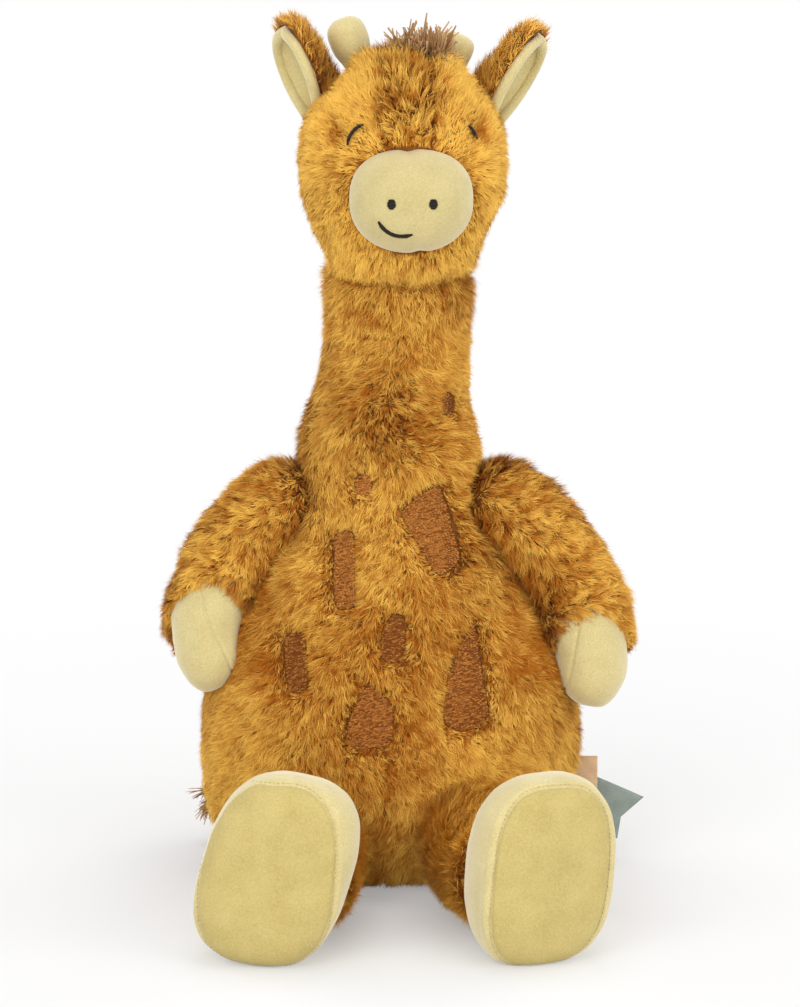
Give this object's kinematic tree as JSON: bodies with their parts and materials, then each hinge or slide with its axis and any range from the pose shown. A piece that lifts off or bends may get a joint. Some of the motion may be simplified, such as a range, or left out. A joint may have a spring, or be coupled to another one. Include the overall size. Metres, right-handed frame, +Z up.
{
  "type": "plush giraffe",
  "caption": "Seated plush giraffe with a pear-shaped body, long neck, floppy limbs, brown stitched spots and a yarn tuft.",
  "frame": {"origin": "on the flat underside of the seat, below the middle of the body", "axes": "+Z up along the body and neck, -Y the way the toy faces, +X towards its own left arm"},
  "size_m": [0.1952, 0.225, 0.3489],
  "materials": {
    "fur": "long golden brown plush pile",
    "velour": "short cream velour",
    "stuffing": "loose white fibre",
    "brown_embroidery": "satin stitched brown thread",
    "dark_thread": "satin stitched black thread",
    "yarn": "brown yarn strands",
    "peach_tape": "satin tape",
    "grey_tape": "woven tape"
  },
  "bodies": {
    "torso": {"body_front_panel": "fur", "body_back_panel": "fur", "body_stuffing": "stuffing", "side_label": "peach_tape", "spot_breast_small": "brown_embroidery", "spot_breast_large": "brown_embroidery", "spot_chest_bar": "brown_embroidery", "spot_side": "brown_embroidery", "spot_middle": "brown_embroidery", "spot_belly_large": "brown_embroidery", "spot_belly_low": "brown_embroidery"},
    "neck": {"neck_cover": "fur", "neck_stuffing": "stuffing", "spot_neck": "brown_embroidery"},
    "head": {"head_left_panel": "fur", "head_right_panel": "fur", "head_gusset": "fur", "head_stuffing": "stuffing", "muzzle_cover": "velour", "nostril_left": "dark_thread", "nostril_right": "dark_thread", "smile": "dark_thread", "eye_left": "dark_thread", "eye_right": "dark_thread", "ossicone_left": "velour", "ossicone_right": "velour", "hair_tuft": "yarn"},
    "ear_left": {"ear_left_back": "fur", "ear_left_lining": "velour"},
    "ear_right": {"ear_right_back": "fur", "ear_right_lining": "velour"},
    "arm_left": {"arm_left_sleeve": "fur", "hand_left": "velour", "arm_left_stuffing": "stuffing"},
    "arm_right": {"arm_right_sleeve": "fur", "hand_right": "velour", "arm_right_stuffing": "stuffing"},
    "leg_left": {"leg_left_cover": "fur", "foot_left_upper": "velour", "foot_left_sole": "velour", "leg_left_stuffing": "stuffing"},
    "leg_right": {"leg_right_cover": "fur", "foot_right_upper": "velour", "foot_right_sole": "velour", "leg_right_stuffing": "stuffing"},
    "tail": {"tail_cover": "fur", "tail_tuft": "yarn"},
    "flag": {"flag_tag": "grey_tape"}
  },
  "joints": [
    {"name": "neck_bend", "type": "hinge", "parent": "torso", "child": "neck", "pos_m": [0, 0, 0.1385], "axis": [1, 0, 0], "range_deg": [-12, 15], "stiffness_Nm_per_rad": 0.45},
    {"name": "head_turn", "type": "hinge", "parent": "neck", "child": "head", "pos_m": [0.0045, 0, 0.234], "axis": [0, 0, 1], "range_deg": [-35, 35], "stiffness_Nm_per_rad": 0.05},
    {"name": "left_ear", "type": "hinge", "parent": "head", "child": "ear_left", "pos_m": [0.03856, 0.009, 0.31404], "axis": [0.366, 0.7849, -0.5], "range_deg": [-4, 15], "stiffness_Nm_per_rad": 0.01},
    {"name": "right_ear", "type": "hinge", "parent": "head", "child": "ear_right", "pos_m": [-0.0306, 0.00295, 0.31404], "axis": [0.554, -0.7912, 0.2588], "range_deg": [-4, 15], "stiffness_Nm_per_rad": 0.01},
    {"name": "left_shoulder", "type": "hinge", "parent": "torso", "child": "arm_left", "pos_m": [0.04453, -0.006, 0.15], "axis": [0, -1, 0], "range_deg": [0, 75]},
    {"name": "right_shoulder", "type": "hinge", "parent": "torso", "child": "arm_right", "pos_m": [-0.04453, -0.006, 0.15], "axis": [0, 1, 0], "range_deg": [0, 75]},
    {"name": "left_hip", "type": "hinge", "parent": "torso", "child": "leg_left", "pos_m": [0.034, -0.06103, 0.026], "axis": [1, 0, 0], "range_deg": [-25, 45]},
    {"name": "right_hip", "type": "hinge", "parent": "torso", "child": "leg_right", "pos_m": [-0.034, -0.06103, 0.026], "axis": [1, 0, 0], "range_deg": [-25, 45]},
    {"name": "tail_swing", "type": "hinge", "parent": "torso", "child": "tail", "pos_m": [0, 0.06332, 0.034], "axis": [0, 0, -1], "range_deg": [0, 60], "stiffness_Nm_per_rad": 0.01},
    {"name": "flag_flap", "type": "hinge", "parent": "torso", "child": "flag", "pos_m": [0.07641, 0.006, 0.028], "axis": [0, 0, 1], "range_deg": [-8, 30], "stiffness_Nm_per_rad": 0.001}
  ]
}
